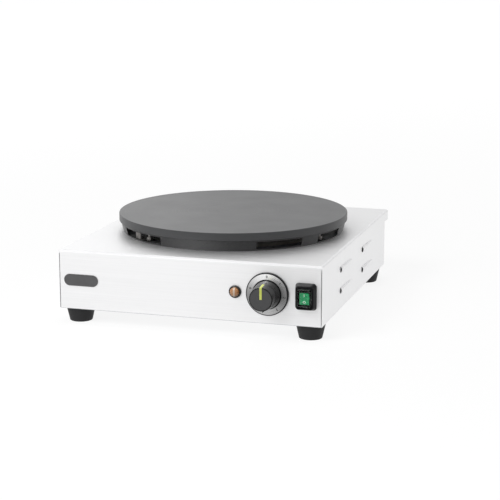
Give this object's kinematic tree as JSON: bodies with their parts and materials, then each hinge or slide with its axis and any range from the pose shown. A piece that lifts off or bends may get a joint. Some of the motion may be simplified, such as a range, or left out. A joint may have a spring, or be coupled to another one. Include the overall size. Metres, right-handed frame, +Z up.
{
  "type": "electric crepe maker",
  "caption": "Countertop electric crepe maker: round cast griddle plate over a low folded steel housing with a heat dial, indicator lamp and rocker switch.",
  "frame": {"origin": "middle of the overall box at the surface the feet stand on", "axes": "+X to the right of a user at the controls, +Y from the controls towards the back, +Z up"},
  "size_m": [0.4556, 0.5405, 0.1568],
  "materials": {
    "stainless": "satin brushed",
    "zinc_sheet": "zinc plated",
    "fixing_steel": "plain",
    "foot_rubber": "matt",
    "plate_iron": "machined, seasoned",
    "skirt_black": "satin black",
    "element_sheath": "dull oxide",
    "blanket_fibre": "white fibre",
    "ceramic": "unglazed white",
    "copper": "bare",
    "badge_black": "satin",
    "lamp_amber": "clear amber",
    "bezel_black": "gloss",
    "panel_black": "satin",
    "knob_front": "matt",
    "dial_bright": "brushed",
    "pointer_green": "gloss",
    "rocker_green": "clear green",
    "cover_clear": "clear"
  },
  "bodies": {
    "housing": {"body_shell": "stainless", "base_plate": "zinc_sheet", "rear_panel": "stainless", "feet": "foot_rubber", "foot_screws": "fixing_steel", "foot_nuts": "fixing_steel", "base_screws": "fixing_steel", "rear_screws": "fixing_steel", "griddle_plate": "plate_iron", "inner_element": "element_sheath", "outer_element": "element_sheath", "element_clamp": "zinc_sheet", "insulation_blanket": "blanket_fibre", "heat_pan": "zinc_sheet", "element_bushes": "ceramic", "clamp_studs": "fixing_steel", "clamp_nuts": "fixing_steel", "plate_brackets": "zinc_sheet", "bracket_screws": "fixing_steel", "bracket_nuts": "fixing_steel", "hold_down_studs": "fixing_steel", "hold_down_nuts": "fixing_steel", "skirt_ring": "skirt_black", "sensor_bulb": "copper", "sensor_clip": "zinc_sheet", "clip_screws": "fixing_steel", "capillary_tube": "copper", "name_badge": "badge_black", "lamp_bezel": "bezel_black", "lamp_lens": "lamp_amber", "lamp_holder": "bezel_black", "lamp_nut": "bezel_black", "dial_base": "panel_black", "dial_face": "dial_bright", "dial_screws": "fixing_steel", "thermostat_body": "panel_black", "switch_frame": "panel_black", "switch_body": "panel_black", "switch_cover": "cover_clear", "switch_tabs": "fixing_steel", "cable_gland": "panel_black", "gland_nut": "panel_black", "terminal_block": "ceramic", "terminal_screws": "fixing_steel", "earth_stud": "copper", "earth_nuts": "fixing_steel", "safety_cut_out": "ceramic"},
    "knob": {"knob_body": "bezel_black", "knob_cap": "knob_front", "knob_pointer": "pointer_green", "thermostat_shaft": "fixing_steel"},
    "rocker": {"switch_rocker": "rocker_green"}
  },
  "joints": [
    {"name": "knob_turn", "type": "hinge", "parent": "housing", "child": "knob", "pos_m": [0.135, -0.2295, 0.0745], "axis": [0, 1, 0], "range_deg": [0, 288]},
    {"name": "rocker_tilt", "type": "hinge", "parent": "housing", "child": "rocker", "pos_m": [0.1983, -0.2335, 0.0745], "axis": [-1, 0, 0], "range_deg": [0, 14]}
  ]
}
